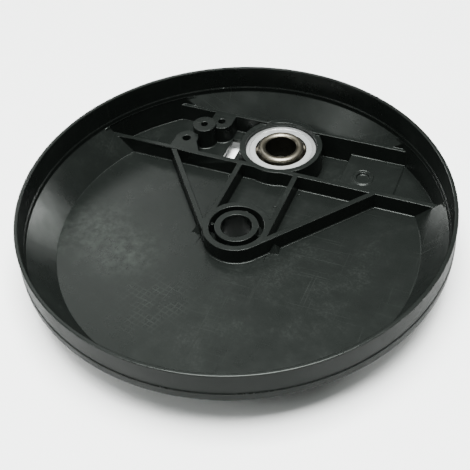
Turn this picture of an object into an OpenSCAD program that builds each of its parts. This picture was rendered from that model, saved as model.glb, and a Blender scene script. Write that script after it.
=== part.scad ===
// Round wheel-side cover of a floor cleaning machine: a dished plastic disc with a rim,
// a ribbed floor, a centre hub and a seat that carries a deep-groove ball bearing.
// Units: millimetres. Origin: hub axis on the plane the cover rests on. +Z is up.
// +Y runs from the hub axis to the bearing axis.

/* [Disc and rim] */
// Radius of the rim's outer face
rim_r = 95; // [80:0.5:120]
// Thickness of the rim wall at its top
rim_wall = 1.8; // [1.2:0.1:3]
// Thickness of the rim wall below the inside ledge
skirt_wall = 2.3; // [1.5:0.1:4]
// Height of the rim's top edge
rim_top = 34; // [28:0.5:45]
// Height of the ledge inside the rim
ledge_z = 22.6; // [19:0.1:30]
// Height of the rim's bottom edge
rim_bottom = 19.4; // [17:0.1:21]
// Height of the bead around the bottom of the rim
bead_h = 4; // [2:0.5:6]
// Distance the bead stands out from the rim
bead_out = 0.3; // [0.1:0.1:1]
// Height at which the inside cone meets the rim
cone_top = 20.3; // [18:0.1:22]
// Radius of the flat floor
floor_r = 81.8; // [70:0.1:90]
// Height of the floor's upper face
floor_z = 7.4; // [5:0.1:9]
// Thickness of the floor
floor_t = 2.2; // [1.5:0.1:3.5]

/* [Ribs] */
// Height of the top of the ribs, the hub and the bearing boss
rib_top = 15.4; // [12:0.1:18]
// Height of the top of the back wall of the channel
back_top = 16.6; // [12:0.1:18]
// Thickness of the back wall of the channel
back_wall_t = 1.8; // [1:0.1:4]
// Thickness of a rib
rib_t = 2.6; // [1.5:0.1:4]
// Distance from the hub axis to the near face of the cross rib
front_rib_y = 39.4; // [30:0.1:45]
// Distance from the hub axis to the near face of the channel's back wall
back_wall_y = 71.2; // [65:0.1:75]
// Distance from the middle plane to the centre of each straight rib
straight_rib_x = 14.05; // [8:0.1:15]
// Distance from the middle plane to the far end of the right slanted rib
right_slant_x = 52; // [40:0.1:60]
// Distance from the middle plane to the far end of the left slanted rib
left_slant_x = 49.8; // [40:0.1:60]
// Distance from the hub axis to the line of each slanted rib
slant_offset = 14.05; // [10:0.1:15]
// Radius of the small pointed gusset at the foot of each slanted rib
gusset_r = 4.2; // [2:0.1:5]
// Height of the small pointed gusset above the floor
gusset_h = 4.6; // [2:0.1:6]

/* [Hub] */
// Radius of the axle bore
hub_bore_r = 7; // [5:0.05:9]
// Radius of the inner sleeve's outer face
hub_sleeve_r = 9.95; // [8:0.05:11]
// Radius of the inside of the hub's outer ring
hub_gap_r = 12.45; // [11:0.05:14]
// Radius of the outside of the hub
hub_r = 15.4; // [13:0.1:20]
// Thickness of the four webs between the sleeve and the outer ring
hub_web = 1.4; // [1:0.1:3]
// Distance the webs lie below the top of the hub
hub_web_drop = 2.6; // [0:0.1:5]

/* [Bearing seat] */
// Distance between the hub axis and the bearing axis
seat_y = 58.4; // [50:0.1:65]
// Radius of the outside of the bearing boss
seat_r = 20.2; // [19:0.1:24]
// Radius of the hole under the bearing
seat_hole_r = 13; // [12:0.1:15]
// Height of the shoulder that carries the bearing
seat_floor = 2.2; // [1.5:0.1:4]

/* [Channel] */
// Radius of the channel's curved end walls
channel_r = 92.5; // [90:0.1:92.6]
// Distance from the middle plane to the far wall of the deep pocket beside the bearing boss
pocket_end_x = 32.2; // [25:0.1:40]
// Height of the deep pocket's floor
pocket_z = 3; // [2.4:0.1:5]
// Thickness of the pocket's walls
pocket_wall = 2; // [1.5:0.1:3]
// Distance from the middle plane to the far edge of the raised pad
pad_end_x = 58.8; // [50:0.1:65]
// Height of the raised pad's upper face
pad_z = 8; // [7:0.1:10]
// Distance from the middle plane to the ring on the pad
ring_x = 42.3; // [36:0.1:50]
// Distance from the hub axis to the ring, along the middle plane
ring_y = 56.2; // [50:0.1:64]
// Outer radius of the ring on the pad
ring_r = 4.8; // [4:0.1:7]
// Inner radius of the ring on the pad
ring_hole_r = 3.2; // [2:0.1:5]
// Height of the ring above the pad
ring_h = 0.6; // [0.3:0.1:3]
// Width of the slot through the channel floor
slot_w = 5.8; // [4:0.1:8]
// Length of the slot
slot_l = 15.4; // [10:0.1:20]
// Distance from the middle plane to the slot's centre line
slot_x = 24.9; // [22:0.1:28]
// Distance from the hub axis to the slot's far end
slot_end_y = 64.5; // [60:0.1:68]

/* [Screw bosses] */
// Radius of the screw bosses
boss_r = 5.8; // [4:0.1:7]
// Radius of the pilot hole in the tall boss
tall_pilot_r = 1.65; // [1:0.05:2.5]
// Height of the tall boss
tall_top = 18.4; // [15:0.1:22]
// Radius of the pilot hole in the boss on the back rib
back_pilot_r = 1.8; // [1:0.05:2.5]
// Radius of the pilot hole in the lug on the front rib
lug_pilot_r = 2; // [1:0.05:2.5]
// Depth of the pilot holes
pilot_depth = 8; // [5:0.5:9]

/* [Bearing] */
// Radius of the bearing's bore
brg_bore_r = 7.5; // [5:0.5:10]
// Radius of the bearing's outer face
brg_r = 17.5; // [15:0.5:20]
// Width of the bearing
brg_w = 11; // [9:0.5:14]
// Height that the inner ring stands above the outer ring
inner_proud = 2.1; // [0:0.1:3]
// Radius of the balls
ball_r = 2.976; // [2.5:0.001:3.2]
// Radius of the inner ring's outer face
inner_land_r = 11.1; // [10:0.1:11.5]
// Radius of the outer ring's inner face
outer_land_r = 14.7; // [14:0.1:15.2]
// Number of balls
ball_count = 8; // [6:1:9]

/* [Hidden] */
$fn = 96;
// Overlap that joins two solids
eps = 0.5;
// Distance a cut runs past the solid it cuts
past = 1;
// Names of the pieces in build order

floor_under = floor_z - floor_t;
rim_in = rim_r - rim_wall;
skirt_in = rim_r - skirt_wall;
bead_z = rim_bottom + bead_h;
bead_r = rim_r + bead_out;
// Slope of the cone and the outline of its underside
cone_run = skirt_in - floor_r;
cone_rise = cone_top - floor_z;
cone_len = sqrt(cone_run * cone_run + cone_rise * cone_rise);
under_dr = floor_t * cone_rise / cone_len;
under_dz = floor_t * cone_run / cone_len;
under_r = floor_r + under_dr - (floor_z - under_dz - floor_under) * cone_run / cone_rise;
skirt_foot_r = skirt_in + under_dr;
skirt_foot_z = cone_top - under_dz;
edge_ease = 0.3;

front_rib_in = front_rib_y + rib_t;
back_wall_out = back_wall_y + back_wall_t;
rib_foot = floor_z - eps;

// Far end of the slanted ribs, inside the cross rib
slant_end_y = front_rib_y + rib_t / 2;
// Distance along a slanted rib to its gusset
gusset_at = 10.7;

// Places of the screw bosses and shape of their joins to the walls
tall_x = -40.5;
tall_y = 58.6;
back_boss_x = -34;
back_boss_y = 65.4;
lug_x = -46.3;
lug_y = 49.2;
lug_slope = 4.2;
end_wall_lap = 2.6;
neck_inset = 0.15;
ring_floor = pad_z - eps;

// Places and clearances inside the bearing
brg_bottom = seat_floor;
brg_mid = seat_floor + brg_w / 2;
pitch_r = (brg_bore_r + brg_r) / 2;
groove_r = ball_r + 0.05;
ring_ease = 0.5;
shield_t = 0.4;
shield_in = 12.5;
shield_seat_r = 15.3;
shield_out = 15.25;
shield_depth = 0.2;
shield_pocket = shield_depth + shield_t + 0.05;
cage_t = 0.6;
cage_in = 11.6;
cage_out = 13.7;
cage_gap = 0.02;
pocket_ball_r = ball_r + 0.12;
pocket_shell_r = pocket_ball_r + 0.5;
rivet_r = 0.5;
rivet_head_r = 0.85;
rivet_head_h = 0.35;

// Dome on the top of the inner ring
inner_mid_r = (brg_bore_r + inner_land_r) / 2;
inner_half = (inner_land_r - brg_bore_r) / 2;
dome_r = 2.2;
dome_drop = dome_r - sqrt(dome_r * dome_r - inner_half * inner_half);

// Section through the dished disc, from the hub axis to the rim
module dish_section() {
    polygon([
        [0, floor_under],
        [under_r, floor_under],
        [skirt_foot_r, skirt_foot_z],
        [bead_r, rim_bottom],
        [bead_r, bead_z],
        [rim_r, bead_z],
        [rim_r, rim_top - edge_ease],
        [rim_r - edge_ease, rim_top],
        [rim_in + edge_ease, rim_top],
        [rim_in, rim_top - edge_ease],
        [rim_in, ledge_z],
        [skirt_in, ledge_z],
        [skirt_in, cone_top],
        [floor_r, floor_z],
        [0, floor_z]
    ]);
}

// Slab across the disc from y0 to y1 and from z0 to z1
module slab(y0, y1, z0, z1) {
    translate([-rim_r - past, y0, z0]) cube([2 * (rim_r + past), y1 - y0, z1 - z0]);
}

// Walls and floor of the channel, filled solid. Its end walls reach up to the rim and run a
// little past the channel, so that they close the gap under the cone.
module channel_body() {
    intersection() {
        union() {
            slab(front_rib_y, back_wall_out, floor_under, rib_top);
            slab(back_wall_y - eps, back_wall_out, floor_under, back_top);
        }
        translate([0, 0, floor_under - past]) cylinder(r = rim_r, h = rim_top);
    }
    intersection() {
        slab(front_rib_y - end_wall_lap, back_wall_out + end_wall_lap, floor_under, rim_bottom + past);
        translate([0, 0, floor_under - past]) difference() {
            cylinder(r = rim_r, h = rim_top);
            translate([0, 0, -past]) cylinder(r = channel_r - eps, h = rim_top + 2 * past);
        }
    }
}

// Space inside the channel, from its floor to above the rim, and over its two cross walls
module channel_space() {
    intersection() {
        union() {
            slab(front_rib_in, back_wall_y, floor_z, rim_top + past);
            slab(front_rib_y, front_rib_in + eps, rib_top, rim_top + past);
            slab(back_wall_y - eps, back_wall_out, back_top, rim_top + past);
        }
        translate([0, 0, floor_z - past]) cylinder(r = channel_r, h = rim_top);
    }
}

// Deep pocket to the right of the bearing boss, filled solid
module pocket_body() {
    translate([0, front_rib_y, pocket_z - floor_t])
        cube([pocket_end_x + pocket_wall, back_wall_out - front_rib_y, rib_foot - pocket_z + floor_t]);
}

// Space inside the deep pocket
module pocket_space() {
    translate([0, front_rib_in, pocket_z])
        cube([pocket_end_x, back_wall_y - front_rib_in, floor_z]);
}

// One straight rib from the hub to the cross rib
module straight_rib() {
    translate([straight_rib_x - rib_t / 2, 0, rib_foot])
        cube([rib_t, slant_end_y, rib_top - rib_foot]);
}

// One slanted rib from the side of the hub to x = end_x on the cross rib, with its gusset
module slanted_rib(end_x) {
    end_d = sqrt(end_x * end_x + slant_end_y * slant_end_y);
    turn = atan2(slant_end_y, end_x) + asin(slant_offset / end_d);
    length = sqrt(end_d * end_d - slant_offset * slant_offset);
    rotate([0, 0, turn]) {
        translate([0, -slant_offset - rib_t / 2, rib_foot])
            cube([length, rib_t, rib_top - rib_foot]);
        translate([gusset_at, -slant_offset - rib_t / 2 + eps, floor_z - eps])
            cylinder(r1 = gusset_r, r2 = 0, h = gusset_h + eps, $fn = 4);
    }
}

module ribs() {
    straight_rib();
    slanted_rib(right_slant_x);
    mirror([1, 0, 0]) {
        straight_rib();
        slanted_rib(left_slant_x);
    }
}

// Hub sleeve, outer ring and the spigot below the floor
module hub_body() {
    translate([0, 0, rib_foot]) cylinder(r = hub_r, h = rib_top - rib_foot);
    cylinder(r = hub_sleeve_r, h = floor_z);
}

// Ring-shaped recess between the sleeve and the outer ring, crossed by four low webs
module hub_recess() {
    difference() {
        translate([0, 0, floor_z]) cylinder(r = hub_gap_r, h = rib_top);
        translate([0, 0, floor_z - past]) cylinder(r = hub_sleeve_r, h = rib_top + 2 * past);
        for (turn = [0, 90])
            rotate([0, 0, turn]) translate([-hub_r, -hub_web / 2, floor_z - past])
                cube([2 * hub_r, hub_web, rib_top - hub_web_drop - floor_z + past]);
    }
}

// Raised pad with its ring
module pad_body() {
    translate([pocket_end_x, front_rib_in - eps, rib_foot])
        cube([pad_end_x - pocket_end_x, back_wall_y - front_rib_in + 2 * eps, pad_z - rib_foot]);
    translate([ring_x, ring_y, rib_foot]) cylinder(r = ring_r, h = pad_z + ring_h - rib_foot);
}

// Boss with a flat-sided neck that reaches a wall at y = wall_y
module necked_boss(x, y, wall_y, top) {
    neck = boss_r - neck_inset;
    translate([x, y, rib_foot]) cylinder(r = boss_r, h = top - rib_foot);
    translate([x - neck, min(y, wall_y), rib_foot]) cube([2 * neck, abs(wall_y - y), top - rib_foot]);
}

module screw_bosses() {
    translate([tall_x, tall_y, rib_foot]) cylinder(r = boss_r, h = tall_top - rib_foot);
    necked_boss(back_boss_x, back_boss_y, back_wall_y + eps, back_top);
    necked_boss(lug_x, lug_y, front_rib_in - eps, rib_top);
    translate([0, 0, rib_foot]) linear_extrude(height = rib_top - rib_foot)
        polygon([
            [lug_x, front_rib_in - eps],
            [lug_x + boss_r + lug_slope, front_rib_in - eps],
            [lug_x + boss_r - eps, lug_y],
            [lug_x, lug_y]
        ]);
}

// Pilot hole of radius r that goes down from height top
module pilot(x, y, r, top) {
    translate([x, y, top - pilot_depth]) cylinder(r = r, h = pilot_depth + past);
}

module slot() {
    translate([-slot_x - slot_w / 2, slot_end_y - slot_l, 0]) cube([slot_w, slot_l, floor_z + past]);
}

module cover() color("#2f3431") difference() {
    union() {
        difference() {
            union() {
                rotate_extrude() dish_section();
                channel_body();
                pocket_body();
            }
            channel_space();
            pocket_space();
        }
        ribs();
        hub_body();
        translate([0, seat_y, 0]) cylinder(r = seat_r, h = rib_top);
        pad_body();
        screw_bosses();
    }
    hub_recess();
    translate([0, 0, -past]) cylinder(r = hub_bore_r, h = rim_top);
    translate([0, seat_y, brg_bottom]) cylinder(r = brg_r, h = rim_top);
    translate([0, seat_y, -past]) cylinder(r = seat_hole_r, h = rim_top);
    translate([ring_x, ring_y, ring_floor]) cylinder(r = ring_hole_r, h = rim_top);
    pilot(tall_x, tall_y, tall_pilot_r, tall_top);
    pilot(back_boss_x, back_boss_y, back_pilot_r, back_top);
    pilot(lug_x, lug_y, lug_pilot_r, rib_top);
    slot();
}

// Puts a piece of the bearing at the middle of the bearing's width
module at_bearing() {
    translate([0, seat_y, brg_mid]) children();
}

// Outer ring with its ball groove and a step for each shield
module bearing_outer_ring() color("#b9bcbd") at_bearing() rotate_extrude() difference() {
    polygon([
        [outer_land_r, -brg_w / 2],
        [brg_r - ring_ease, -brg_w / 2],
        [brg_r, -brg_w / 2 + ring_ease],
        [brg_r, brg_w / 2 - ring_ease],
        [brg_r - ring_ease, brg_w / 2],
        [outer_land_r, brg_w / 2]
    ]);
    translate([pitch_r, 0]) circle(r = groove_r);
    for (end = [0, 1]) mirror([0, end])
        translate([outer_land_r - past, brg_w / 2 - shield_pocket])
            square([shield_seat_r - outer_land_r + past, shield_pocket + past]);
}

// Inner ring with its ball groove and a domed top that stands above the outer ring
module bearing_inner_ring() color("#a79c86") at_bearing() rotate_extrude() difference() {
    union() {
        translate([brg_bore_r, -brg_w / 2])
            square([inner_land_r - brg_bore_r, brg_w + inner_proud - dome_drop]);
        intersection() {
            translate([inner_mid_r, brg_w / 2 + inner_proud - dome_r]) circle(r = dome_r);
            translate([brg_bore_r, 0]) square([inner_land_r - brg_bore_r, brg_w]);
        }
    }
    translate([pitch_r, 0]) circle(r = groove_r);
}

// Ball number i of the ring of balls
module ball(i) color("#d4d6d8") at_bearing()
    rotate([0, 0, (i - 1) * 360 / ball_count]) translate([pitch_r, 0, 0]) sphere(r = ball_r);

// One half of the ribbon cage: a flat ring with a round pocket over each ball
module cage_half() intersection() {
    difference() {
        union() {
            cylinder(r = cage_out, h = cage_gap + cage_t);
            for (i = [1:ball_count])
                rotate([0, 0, (i - 1) * 360 / ball_count]) translate([pitch_r, 0, 0])
                    sphere(r = pocket_shell_r);
        }
        for (i = [1:ball_count]) rotate([0, 0, (i - 1) * 360 / ball_count]) {
            translate([pitch_r, 0, 0]) sphere(r = pocket_ball_r);
            rotate([0, 0, 180 / ball_count]) translate([pitch_r, 0, -past])
                cylinder(r = rivet_r, h = brg_w);
        }
    }
    translate([0, 0, cage_gap]) difference() {
        cylinder(r = cage_out, h = brg_w / 2);
        translate([0, 0, -past]) cylinder(r = cage_in, h = brg_w);
    }
}

module cage_upper() color("#9c8a5e") at_bearing() cage_half();

module cage_lower() color("#9c8a5e") at_bearing() mirror([0, 0, 1]) cage_half();

// Rivets that hold the two halves of the cage together
module cage_rivets() color("#c0a868") at_bearing() for (i = [1:ball_count])
    rotate([0, 0, (i - 0.5) * 360 / ball_count]) translate([pitch_r, 0, 0]) {
        shank = 2 * (cage_gap + cage_t + rivet_head_h);
        translate([0, 0, -shank / 2]) cylinder(r = rivet_r, h = shank);
        for (end = [0, 1]) mirror([0, 0, end])
            translate([0, 0, cage_gap + cage_t]) cylinder(r = rivet_head_r, h = rivet_head_h);
    }

// Pressed metal shield that closes one side of the bearing
module shield() color("#aeb2b4") difference() {
    translate([0, 0, brg_w / 2 - shield_depth - shield_t]) cylinder(r = shield_out, h = shield_t);
    cylinder(r = shield_in, h = brg_w);
}

module shield_upper() at_bearing() shield();

module shield_lower() at_bearing() mirror([0, 0, 1]) shield();

cover();
bearing_outer_ring();
bearing_inner_ring();
ball(1);  // ball_1
ball(2);  // ball_2
ball(3);  // ball_3
ball(4);  // ball_4
ball(5);  // ball_5
ball(6);  // ball_6
ball(7);  // ball_7
ball(8);  // ball_8
cage_upper();
cage_lower();
cage_rivets();
shield_upper();
shield_lower();
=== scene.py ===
"""Looks of the wheel-side cover: a black moulded dish with a shielded ball bearing."""
import math
import random

import bmesh
import bpy
from mathutils import Matrix, Vector


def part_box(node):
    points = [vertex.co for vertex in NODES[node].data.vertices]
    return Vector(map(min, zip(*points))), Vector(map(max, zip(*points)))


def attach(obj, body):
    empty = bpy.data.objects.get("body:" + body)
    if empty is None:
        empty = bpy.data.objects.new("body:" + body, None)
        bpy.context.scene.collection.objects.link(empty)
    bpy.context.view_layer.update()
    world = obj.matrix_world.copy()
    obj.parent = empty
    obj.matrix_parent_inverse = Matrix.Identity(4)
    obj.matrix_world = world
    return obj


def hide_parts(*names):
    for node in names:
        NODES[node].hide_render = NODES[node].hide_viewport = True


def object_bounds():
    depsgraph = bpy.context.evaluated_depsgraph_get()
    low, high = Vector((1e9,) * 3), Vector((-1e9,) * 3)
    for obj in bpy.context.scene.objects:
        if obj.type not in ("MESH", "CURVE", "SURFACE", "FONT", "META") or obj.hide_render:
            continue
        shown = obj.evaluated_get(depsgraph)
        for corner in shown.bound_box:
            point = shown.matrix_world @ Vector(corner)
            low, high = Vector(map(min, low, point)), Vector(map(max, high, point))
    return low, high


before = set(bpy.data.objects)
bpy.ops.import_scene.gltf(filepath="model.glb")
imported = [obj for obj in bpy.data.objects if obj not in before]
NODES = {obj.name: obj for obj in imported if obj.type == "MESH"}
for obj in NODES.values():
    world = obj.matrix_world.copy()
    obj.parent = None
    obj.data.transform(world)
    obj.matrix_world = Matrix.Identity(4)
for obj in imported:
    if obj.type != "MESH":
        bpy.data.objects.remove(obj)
CAD_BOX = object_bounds()
MM = 0.001
RIM_TOP = CAD_BOX[1][2]

# ---------------------------------------------------------------- camera
CAMERA_TURN = math.radians(24.9)
CAMERA_PITCH = math.radians(45.571)
CAMERA_ROLL = math.radians(-4.171)
CAMERA_OFFSET = Vector((-0.00038, -0.01720, 0.38836))
LENS_MM = 68.94
SENSOR_MM = 36.0
CLIP_NEAR, CLIP_FAR = 0.01, 20


def make_camera():
    """Camera above the front, placed from the middle of the rim's top."""
    back = Vector((
        math.sin(CAMERA_TURN) * math.cos(CAMERA_PITCH),
        -math.cos(CAMERA_TURN) * math.cos(CAMERA_PITCH),
        math.sin(CAMERA_PITCH),
    ))
    forward = -back
    right = forward.cross(Vector((0, 0, 1))).normalized()
    down = -right.cross(forward)
    turn = Matrix.Rotation(CAMERA_ROLL, 3, "Z")
    rows = turn @ Matrix((right, down, forward))
    place = Vector((0, 0, RIM_TOP)) - rows.transposed() @ CAMERA_OFFSET
    axes = Matrix((rows[0], -rows[1], -rows[2])).transposed()
    data = bpy.data.cameras.new("camera")
    data.lens = LENS_MM
    data.sensor_width = SENSOR_MM
    data.clip_start = CLIP_NEAR
    data.clip_end = CLIP_FAR
    camera = bpy.data.objects.new("camera", data)
    camera.matrix_world = Matrix.Translation(place) @ axes.to_4x4()
    bpy.context.collection.objects.link(camera)
    bpy.context.scene.camera = camera


# ---------------------------------------------------------------- sizes of the part
BEARING_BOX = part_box("bearing_outer_ring")
BEARING_AXIS = Vector(((BEARING_BOX[0][0] + BEARING_BOX[1][0]) / 2,
                       (BEARING_BOX[0][1] + BEARING_BOX[1][1]) / 2, 0))
COVER_AXIS = Vector((0, 0, 0))
BORE_R = 7.5 * MM
HUB_BORE_R = 7 * MM
HUB_R = 15.4 * MM
FLOOR_R = 81.8 * MM
RIM_R = 95 * MM
FLOOR_Z = 7.4 * MM
PAD_Z = 8 * MM

# ---------------------------------------------------------------- rounded copies of the nodes
# Points closer than this are joined
WELD = 0.002 * MM
# Edges flatter than the first angle are dissolved, and those over the second are rounded
FLAT_ANGLE = math.radians(0.4)
SHARP_ANGLE = math.radians(25)
# Side of the squares that level faces are cut into
GRID = 10 * MM
# Upright share of a face's normal: over LEVEL it is level, under WALL it is a wall,
# and between the two slopes it is sloped
LEVEL = 0.999
WALL = 0.5
SLOPE_LOW, SLOPE_HIGH = 0.2, 0.9
# Widths of the rounding
EDGE_ROUND = 0.3 * MM
FOOT_ROUND = 0.7 * MM
METAL_ROUND = 0.12 * MM
GUSSET_ROUND = 0.08 * MM
ROUND_SEGMENTS = 2
# The gussets lie within this distance of the hub's axis
GUSSET_REACH = 30 * MM
# Feet of walls are rounded wider between the hub and the floor's edge, less these margins
HUB_MARGIN = 0.5 * MM
FLOOR_MARGIN = 1 * MM
NEAR = 0.1 * MM
# How far a face's middle may lie from the wall that it belongs to
WALL_INSIDE = 0.6 * MM
WALL_OUTSIDE = 1 * MM
BORE_MARGIN = 0.3 * MM


def grid_planes():
    """Upright planes that cut the cover into squares."""
    reach = math.ceil(CAD_BOX[1][0] / GRID)
    for step in range(-reach, reach + 1):
        yield Vector((step * GRID, 0, 0)), Vector((1, 0, 0))
        yield Vector((0, step * GRID, 0)), Vector((0, 1, 0))


def square_up(mesh):
    """Make the level faces into flat polygons no wider than one square."""
    for place, direction in grid_planes():
        everything = list(mesh.verts) + list(mesh.edges) + list(mesh.faces)
        cut = bmesh.ops.bisect_plane(mesh, geom=everything, dist=WELD / 2,
                                     plane_co=place, plane_no=direction)
        for part in cut["geom_cut"]:
            if isinstance(part, bmesh.types.BMEdge):
                part.seam = all(abs(face.normal.z) > LEVEL for face in part.link_faces)
    bmesh.ops.dissolve_limit(mesh, angle_limit=FLAT_ANGLE, verts=mesh.verts,
                             edges=mesh.edges, delimit={"SEAM"})


def cover_round(edge):
    """Rounding of one edge of the cover: wider where a wall stands on the floor."""
    if edge.calc_face_angle_signed(0) > 0:
        return EDGE_ROUND
    ends = [vert.co for vert in edge.verts]
    middle = (ends[0] + ends[1]) / 2
    from_hub = math.hypot(middle.x, middle.y)
    sloped = any(SLOPE_LOW < abs(face.normal.z) < SLOPE_HIGH for face in edge.link_faces)
    if sloped and from_hub < GUSSET_REACH:
        return GUSSET_ROUND
    level = abs(ends[0].z - ends[1].z) < NEAR
    on_floor = min(abs(middle.z - FLOOR_Z), abs(middle.z - PAD_Z)) < NEAR
    at_foot = HUB_R - HUB_MARGIN < from_hub < FLOOR_R - FLOOR_MARGIN
    return FOOT_ROUND if level and on_floor and at_foot else EDGE_ROUND


def on_wall(face, axis, low, high):
    """True for a wall face whose middle lies between two radii of an upright axis."""
    middle = face.calc_center_median()
    radius = math.hypot(middle.x - axis.x, middle.y - axis.y)
    return abs(face.normal.z) < WALL and low < radius < high


def cover_region(face):
    """Material number of a face of the cover: 1 on the rim's outside, 2 in the hub's bore."""
    if on_wall(face, COVER_AXIS, RIM_R - WALL_INSIDE, RIM_R + WALL_OUTSIDE):
        return 1
    return 2 if on_wall(face, COVER_AXIS, 0, HUB_BORE_R + BORE_MARGIN) else 0


def inner_ring_region(face):
    """Material number of a face of the inner ring: 1 in its bore."""
    return 1 if on_wall(face, BEARING_AXIS, 0, BORE_R + BORE_MARGIN) else 0


def new_object(name, mesh, materials):
    """Put finished geometry into the scene as an object."""
    data = bpy.data.meshes.new(name)
    mesh.to_mesh(data)
    mesh.free()
    for material in materials:
        data.materials.append(material)
    made = bpy.data.objects.new(name, data)
    bpy.context.collection.objects.link(made)
    return made


def new_piece(name, mesh, materials, body):
    """Put finished geometry into the scene as a smooth piece that rides on a body."""
    for face in mesh.faces:
        face.smooth = True
    piece = new_object(name, mesh, materials)
    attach(piece, body)
    return piece


def rounded_piece(node, mesh, materials, body, widest):
    """Round the weighted edges of a node's geometry and let it stand for the node."""
    piece = new_piece(node + "_rounded", mesh, materials, body)
    bevel = piece.modifiers.new("round", "BEVEL")
    bevel.limit_method = "WEIGHT"
    bevel.width = widest
    bevel.segments = ROUND_SEGMENTS
    bevel.use_clamp_overlap = False
    bevel.loop_slide = False
    bevel.face_strength_mode = "FSTR_ALL"
    normals = piece.modifiers.new("normals", "WEIGHTED_NORMAL")
    normals.use_face_influence = True
    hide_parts(node)


def node_geometry(node):
    """A welded copy of a node's mesh."""
    mesh = bmesh.new()
    mesh.from_mesh(NODES[node].data)
    bmesh.ops.remove_doubles(mesh, verts=mesh.verts, dist=WELD)
    return mesh


def weigh_edges(mesh, share):
    """Mark each sharp edge with its share of the widest rounding."""
    weights = mesh.edges.layers.float.new("bevel_weight_edge")
    for edge in mesh.edges:
        if edge.calc_face_angle(0) > SHARP_ANGLE:
            edge[weights] = share(edge)


def set_regions(mesh, region):
    """Give each face the material number of its region."""
    for face in mesh.faces:
        face.material_index = region(face)


def make_cover(materials):
    """The moulded cover, with rounded edges and wider rounding at the feet of its walls."""
    mesh = node_geometry("cover")
    square_up(mesh)
    for edge in mesh.edges:
        edge.seam = False
    weigh_edges(mesh, lambda edge: cover_round(edge) / FOOT_ROUND)
    set_regions(mesh, cover_region)
    rounded_piece("cover", mesh, materials, "cover", FOOT_ROUND)


def make_bearing_piece(node, body, slot, materials, region=None):
    """One piece of the bearing, with its edges broken."""
    mesh = node_geometry(node)
    weigh_edges(mesh, lambda edge: 1)
    if region:
        set_regions(mesh, region)
    rounded_piece(node, mesh, materials, body, METAL_ROUND)


# ---------------------------------------------------------------- materials
# Sockets of the colour mix node
MIX_FACTOR, MIX_FIRST, MIX_SECOND, MIX_RESULT = 0, 6, 7, 2


class Nodes:
    """Short way to write a node tree."""

    def __init__(self, name):
        self.material = bpy.data.materials.new(name)
        self.material.use_nodes = True
        self.tree = self.material.node_tree
        self.shader = self.tree.nodes["Principled BSDF"]
        self.coords = self.tree.nodes.new("ShaderNodeTexCoord").outputs["Object"]

    def fill(self, node, inputs):
        """Put a value or a link on each named input of a node."""
        for key, value in inputs.items():
            if isinstance(value, bpy.types.NodeSocket):
                self.tree.links.new(value, node.inputs[key])
            else:
                node.inputs[key].default_value = value

    def add(self, kind, inputs, **settings):
        """A new node with its settings and inputs."""
        node = self.tree.nodes.new("ShaderNode" + kind)
        for key, value in settings.items():
            setattr(node, key, value)
        self.fill(node, inputs)
        return node

    def moved(self, turn, scale=(1, 1, 1)):
        """Object coordinates turned about Z and scaled."""
        mapping = self.add("Mapping", {"Vector": self.coords, "Rotation": (0, 0, turn),
                                       "Scale": scale})
        return mapping.outputs["Vector"]

    def noise(self, scale, detail=4, vector=None, roughness=0.5):
        """Cloudy noise from 0 to 1."""
        return self.add("TexNoise", {"Vector": vector or self.coords, "Scale": scale,
                                     "Detail": detail, "Roughness": roughness}).outputs["Fac"]

    def span(self, value, low, high, out_low=0.0, out_high=1.0):
        """A value's range from low to high, spread over another range."""
        return self.add("MapRange", {"Value": value, "From Min": low, "From Max": high,
                                     "To Min": out_low, "To Max": out_high}).outputs["Result"]

    def math(self, operation, first, second):
        """One sum on two values."""
        return self.add("Math", {0: first, 1: second}, operation=operation).outputs[0]

    def most(self, values):
        """The highest of several values."""
        highest = values[0]
        for value in values[1:]:
            highest = self.math("MAXIMUM", highest, value)
        return highest

    def mix(self, factor, first, second):
        """A colour between two others."""
        node = self.add("Mix", {MIX_FACTOR: factor, MIX_FIRST: first, MIX_SECOND: second},
                        data_type="RGBA")
        return node.outputs[MIX_RESULT]

    def spot(self, x, y, radius):
        """1 at a place on the floor, falling to 0 at the radius."""
        distance = self.add("VectorMath", {0: self.coords, 1: (x, y, FLOOR_Z)},
                            operation="DISTANCE").outputs["Value"]
        return self.span(distance, radius, 0)

    def from_axis(self, axis):
        """Distance from an upright axis."""
        flat = self.add("VectorMath", {0: self.coords, 1: (1, 1, 0)}, operation="MULTIPLY")
        return self.add("VectorMath", {0: flat.outputs["Vector"], 1: axis},
                        operation="DISTANCE").outputs["Value"]

    def bump(self, height, strength, distance, normal=None):
        """Normals bent by a height, on top of other normals if given."""
        inputs = {"Height": height, "Strength": strength, "Distance": distance}
        if normal:
            inputs["Normal"] = normal
        return self.add("Bump", inputs).outputs["Normal"]

    def finish(self, inputs):
        """Put values or links on the shader and return the material."""
        self.fill(self.shader, inputs)
        return self.material


# The plastic's black, and the pale tone shared by dust, scratches and the painted highlight patches
BLACK = (0.0042, 0.0052, 0.0046, 1)
DUST_AND_HIGHLIGHT = (0.020, 0.024, 0.021, 1)
MOULD_TINT = (0.92, 1.0, 0.94, 1)
MOULD_SHINE = 0.19
# Lower shine and more roughness on the rim's outside: painted shade, darker than the same plastic
# elsewhere
SHADED_RIM_SHINE, SHADED_RIM_MATT = 0.053, 0.22
# Very low shine in the hub's bore: painted shade seen through the bearing
SHADED_BORE_SHINE = 0.02
MOULD_ROUGH_LOW, MOULD_ROUGH_HIGH = 0.24, 0.34
# Turn and scale of each set of scratches
STREAKS = ((0.5, (30, 1300, 30)), (-0.9, (1500, 25, 40)), (1.9, (25, 1700, 30)))
# Place and radius of the cross-hatched scrape, and the turns of its two sets of lines
HATCH_SPOT = (-20 * MM, -47 * MM, 24 * MM)
HATCH_TURNS = (0.35, 1.85)
HATCH_SCALE = 130.0
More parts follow.
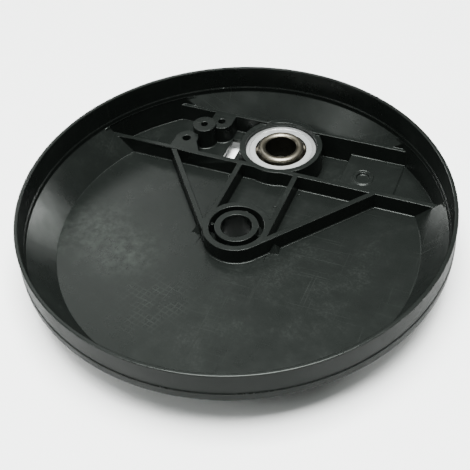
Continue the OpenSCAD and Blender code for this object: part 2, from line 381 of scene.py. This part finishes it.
# Place and radius of each pale patch: painted highlight on the floor and the cone, also made rougher
# and bumped
HIGHLIGHT_SCUFF_SPOTS = (
    (-62 * MM, -16 * MM, 24 * MM),
    (-45 * MM, -24 * MM, 22 * MM),
    (-84 * MM, -28 * MM, 20 * MM),
)
# How strongly each mark pales the plastic, and how much a pale place is rougher
STREAK_PALE, HATCH_PALE, PALE_ROUGH = 0.22, 0.42, 0.10
# Scale, strength and depth of the moulded grain and of the slow waves under it
GRAIN_SCALE, GRAIN_STRENGTH, GRAIN_DEPTH = 2400, 0.12, 0.05 * MM
WAVE_SCALE, WAVE_STRENGTH, WAVE_DEPTH = 150, 0.34, 0.14 * MM
MARK_STRENGTH, MARK_DEPTH = 0.15, 0.06 * MM


def dust_on(nodes, cloud):
    """Specks of dust where the cloud is thick."""
    speck = nodes.span(nodes.noise(900, 3), low=0.45, high=0.75, out_high=0.5)
    return nodes.math("MULTIPLY", nodes.span(cloud, low=0.5, high=0.8), speck)


def streaks_on(nodes):
    """Fine straight scratches, in patches."""
    sets = []
    for turn, scale in STREAKS:
        stretched = nodes.noise(1, 2, nodes.moved(turn, scale))
        sets.append(nodes.span(stretched, low=0.66, high=0.72))
    return nodes.math("MULTIPLY", nodes.most(sets), nodes.span(nodes.noise(38), low=0.45, high=0.65))


def highlight_scuff_on(nodes):
    """Pale patches of painted highlight on the floor and the cone, made rougher and bumped."""
    patch = nodes.most([nodes.spot(*spot) for spot in HIGHLIGHT_SCUFF_SPOTS])
    return nodes.math("MULTIPLY", patch,
                      nodes.span(nodes.noise(260, 6, roughness=0.7), low=0.4, high=0.65))


def hatch_on(nodes):
    """A broken scrape of crossing lines."""
    sets = []
    for turn in HATCH_TURNS:
        wave = nodes.add("TexWave", {"Vector": nodes.moved(turn), "Scale": HATCH_SCALE,
                                     "Distortion": 3.0, "Detail": 2.0, "Detail Scale": 1.4})
        sets.append(nodes.span(wave.outputs["Fac"], low=0.80, high=0.98))
    hatch = nodes.math("MULTIPLY", nodes.most(sets), nodes.spot(*HATCH_SPOT))
    return nodes.math("MULTIPLY", hatch, nodes.span(nodes.noise(180, 3), low=0.4, high=0.6))


def black_plastic(name, shine, matt=0.0):
    """Moulded black plastic with dust, pale patches of painted highlight, fine scratches and a soft
    grain.
    """
    nodes = Nodes(name)
    cloud = nodes.noise(55, 8, roughness=0.65)
    streaks = streaks_on(nodes)
    # Pale patches of painted highlight, also rougher and bumped
    highlight_scuff = highlight_scuff_on(nodes)
    hatch = hatch_on(nodes)
    pale = nodes.most([dust_on(nodes, cloud), nodes.math("MULTIPLY", streaks, STREAK_PALE),
                       nodes.math("MULTIPLY", hatch, HATCH_PALE), highlight_scuff])
    rough = nodes.span(cloud, 0.3, 0.7, MOULD_ROUGH_LOW + matt, MOULD_ROUGH_HIGH + matt)
    rough = nodes.math("ADD", rough, nodes.math("MULTIPLY", pale, PALE_ROUGH))
    grain = nodes.bump(nodes.noise(GRAIN_SCALE, 2), GRAIN_STRENGTH, GRAIN_DEPTH)
    waves = nodes.bump(nodes.noise(WAVE_SCALE, 4), WAVE_STRENGTH, WAVE_DEPTH, grain)
    marks = nodes.math("SUBTRACT", highlight_scuff, nodes.math("ADD", streaks, hatch))
    return nodes.finish({"Base Color": nodes.mix(pale, BLACK, DUST_AND_HIGHLIGHT), "Roughness": rough,
                         "Normal": nodes.bump(marks, MARK_STRENGTH, MARK_DEPTH, waves),
                         "Specular IOR Level": shine, "Specular Tint": MOULD_TINT})


TURNING_SCALE = 6000.0
METAL_DEPTH = 0.02 * MM


def ring_metal(name, colour, stain, roughness, lines=0.10):
    """Turned steel: fine rings about the bearing's axis, with stains."""
    nodes = Nodes(name)
    turned = nodes.add("TexNoise", {"W": nodes.from_axis(BEARING_AXIS), "Scale": TURNING_SCALE,
                                    "Detail": 2.0}, noise_dimensions="1D").outputs["Fac"]
    cloud = nodes.noise(420, 5, roughness=0.6)
    rough = nodes.span(nodes.math("ADD", turned, cloud), 0.6, 1.4,
                       roughness - 0.05, roughness + 0.09)
    tone = nodes.mix(nodes.span(cloud, low=0.45, high=0.75), colour, stain)
    return nodes.finish({"Base Color": tone, "Metallic": 1.0, "Roughness": rough,
                         "Normal": nodes.bump(turned, lines, METAL_DEPTH)})


def inner_ring_metal():
    """Brown-tinted, dull steel of the inner ring."""
    nodes = Nodes("inner_ring_steel")
    cloud = nodes.noise(260)
    steel = nodes.mix(nodes.span(cloud, low=0.4, high=0.7),
                      (0.16, 0.15, 0.12, 1), (0.085, 0.078, 0.058, 1))
    return nodes.finish({"Base Color": steel, "Metallic": 1.0,
                         "Roughness": nodes.span(cloud, 0.3, 0.7, 0.30, 0.42),
                         "Normal": nodes.bump(cloud, 0.05, METAL_DEPTH)})


def dark_bore_shade():
    """Near-black, unreflecting surface inside the inner ring's bore: painted shade."""
    nodes = Nodes("dark_bore_shade")
    cloud = nodes.noise(420)
    tone = nodes.mix(cloud, (0.002, 0.002, 0.0015, 1), (0.005, 0.005, 0.004, 1))
    return nodes.finish({"Base Color": tone, "Roughness": nodes.span(cloud, 0.3, 0.7, 0.5, 0.65),
                         "Specular IOR Level": 0.0, "Normal": nodes.bump(cloud, 0.1, METAL_DEPTH)})


def make_bearing():
    """Every piece of the bearing, each on its body and in its own metal."""
    ring = ring_metal("bearing_steel", (0.66, 0.68, 0.67, 1), (0.5, 0.51, 0.49, 1), 0.36)
    shield = ring_metal("shield_steel", (0.62, 0.645, 0.635, 1), (0.52, 0.535, 0.52, 1), 0.42)
    # The balls and the cage are dark and dull as painted shade, so the gap between the rings stays
    # dark
    ball = ring_metal("ball_steel", (0.16, 0.155, 0.14, 1), (0.08, 0.075, 0.06, 1), 0.3, 0.0)
    cage = ring_metal("cage_steel", (0.05, 0.045, 0.035, 1), (0.02, 0.018, 0.014, 1), 0.5)
    # The inner ring's bore is painted shade: near-black and unreflecting
    inner = (inner_ring_metal(), dark_bore_shade())
    finishes = {
        "bearing_outer_ring": ("cover", "bearing_steel", (ring,)),
        "bearing_inner_ring": ("inner_ring", "inner_ring_steel", inner, inner_ring_region),
        "shield": ("cover", "shield_steel", (shield,)),
        "cage": ("cage", "cage_steel", (cage,)),
        "ball": ("cage", "ball_steel", (ball,)),
    }
    for node in NODES:
        for start, finish in finishes.items():
            if node.startswith(start):
                make_bearing_piece(node, *finish)


# ---------------------------------------------------------------- moulding marks
FLASH_STATIONS = 520
FLASH_FROM, FLASH_TO = math.radians(35), math.radians(205)
FLASH_OUT = 0.26 * MM
FLASH_ROOT = 0.3 * MM
FLASH_SAG = 0.25 * MM
FLASH_LOW, FLASH_HIGH = RIM_TOP - 0.9 * MM, RIM_TOP - 0.32 * MM
# The flash grows to its full reach over one part in this many of its length
FLASH_TAPER = 8
FLASH_SEED = 7
PIP_R = 0.7 * MM
PIP_HEIGHT_SHARE = 0.8
PIP_PLACES = (
    (52.5 * MM, 38.2 * MM),
    (17.2 * MM, 35.8 * MM),
    (-19.5 * MM, 37.4 * MM),
    (9.2 * MM, 24.5 * MM),
)


def flash_section(mesh, angle, reach, sag):
    """The three corners of the flash at one angle round the rim."""
    corners = []
    for radius, height in ((RIM_R - FLASH_ROOT, FLASH_LOW), (RIM_R + reach, FLASH_HIGH - sag),
                           (RIM_R - FLASH_ROOT, FLASH_HIGH)):
        place = (radius * math.cos(angle), radius * math.sin(angle), height)
        corners.append(mesh.verts.new(place))
    return corners


def make_flash(material):
    """Thin ragged flash along the far side of the rim's outer top edge."""
    chance = random.Random(FLASH_SEED)
    mesh = bmesh.new()
    sections = []
    for station in range(FLASH_STATIONS + 1):
        angle = FLASH_FROM + (FLASH_TO - FLASH_FROM) * station / FLASH_STATIONS
        ends = min(1, FLASH_TAPER * min(station, FLASH_STATIONS - station) / FLASH_STATIONS)
        reach = FLASH_OUT * ends * chance.random() ** 2
        sag = FLASH_SAG * chance.random()
        sections.append(flash_section(mesh, angle, reach, sag))
    for first, second in zip(sections, sections[1:]):
        for side in range(3):
            after = (side + 1) % 3
            mesh.faces.new((first[side], first[after], second[after], second[side]))
    mesh.faces.new(sections[0])
    mesh.faces.new(reversed(sections[-1]))
    bmesh.ops.recalc_face_normals(mesh, faces=mesh.faces)
    new_piece("rim_flash", mesh, (material,), "cover")


def make_pips(material):
    """Small round pips left by the mould at the feet of the ribs."""
    mesh = bmesh.new()
    for x, y in PIP_PLACES:
        place = Matrix.Translation((x, y, FLOOR_Z)) @ Matrix.Diagonal((1, 1, PIP_HEIGHT_SHARE, 1))
        bmesh.ops.create_icosphere(mesh, subdivisions=3, radius=PIP_R, matrix=place)
    new_piece("mould_pips", mesh, (material,), "cover")


# ---------------------------------------------------------------- table and light
TABLE_SIZE = 6
TABLE_CELLS = 8
TABLE_GAP = 0.1 * MM
TABLE_PALE, TABLE_PALER = (0.90, 0.92, 0.905, 1), (0.93, 0.95, 0.935, 1)
WORLD_COLOUR = (0.97, 1.0, 0.975, 1)
# The surroundings are at the low strength up to the first height and at the high one
# from the second
WORLD_LOW, WORLD_HIGH = 0.14, 0.8
FADE_FROM, FADE_TO = math.radians(40), math.radians(64)
# Name, place, side and radiance of each light
SOFTBOXES = (
    ("overhead", (0.05, -0.08, 1.2), 0.7, 48.0),
    ("back_left", (-0.72, 0.85, 1.05), 0.4, 5.0),
    ("front_left", (-0.95, -0.95, 0.9), 0.5, 7.0),
    ("right_low", (0.95, 1.72, 0.42), 0.5, 28.0),
    ("left_low", (-1.5, 0.6, 0.35), 0.5, 22.0),
)


def make_table():
    """Plain pale surface under the part."""
    mesh = bmesh.new()
    bmesh.ops.create_grid(mesh, x_segments=TABLE_CELLS, y_segments=TABLE_CELLS,
                          size=TABLE_SIZE / 2)
    nodes = Nodes("table_white")
    tone = nodes.mix(nodes.noise(30), TABLE_PALE, TABLE_PALER)
    table = new_object("table", mesh, (nodes.finish({"Base Color": tone, "Roughness": 0.7}),))
    table.location.z = CAD_BOX[0][2] - TABLE_GAP


def make_softbox(name, place, size, radiance):
    """Square light aimed at the part."""
    data = bpy.data.lights.new(name, "AREA")
    data.shape = "SQUARE"
    data.size = size
    data.energy = radiance * math.pi * size * size
    light = bpy.data.objects.new(name, data)
    light.location = place
    light.rotation_euler = (-Vector(place)).to_track_quat("-Z", "Y").to_euler()
    bpy.context.collection.objects.link(light)


def make_world():
    """Even pale surroundings that darken towards the horizon."""
    world = bpy.data.worlds.new("studio")
    bpy.context.scene.world = world
    world.use_nodes = True
    tree = world.node_tree
    background = tree.nodes["Background"]
    background.inputs["Color"].default_value = WORLD_COLOUR
    coords = tree.nodes.new("ShaderNodeTexCoord")
    split = tree.nodes.new("ShaderNodeSeparateXYZ")
    fade = tree.nodes.new("ShaderNodeMapRange")
    fade.inputs["From Min"].default_value = math.sin(FADE_FROM)
    fade.inputs["From Max"].default_value = math.sin(FADE_TO)
    fade.inputs["To Min"].default_value = WORLD_LOW
    fade.inputs["To Max"].default_value = WORLD_HIGH
    tree.links.new(coords.outputs["Generated"], split.inputs["Vector"])
    tree.links.new(split.outputs["Z"], fade.inputs["Value"])
    tree.links.new(fade.outputs["Result"], background.inputs["Strength"])


# ---------------------------------------------------------------- the scene
make_camera()
plastic = black_plastic("black_plastic", MOULD_SHINE)
# A duller copy of the plastic paints shade on the rim's outside
shaded_rim_plastic = black_plastic("black_plastic_rim_shaded", SHADED_RIM_SHINE, SHADED_RIM_MATT)
# A nearly unreflecting copy of the plastic paints shade in the hub's bore
shaded_bore_plastic = black_plastic("black_plastic_bore_shaded", SHADED_BORE_SHINE)
make_cover((plastic, shaded_rim_plastic, shaded_bore_plastic))
make_bearing()
make_flash(shaded_rim_plastic)
make_pips(plastic)
make_table()
make_world()
for softbox in SOFTBOXES:
    make_softbox(*softbox)
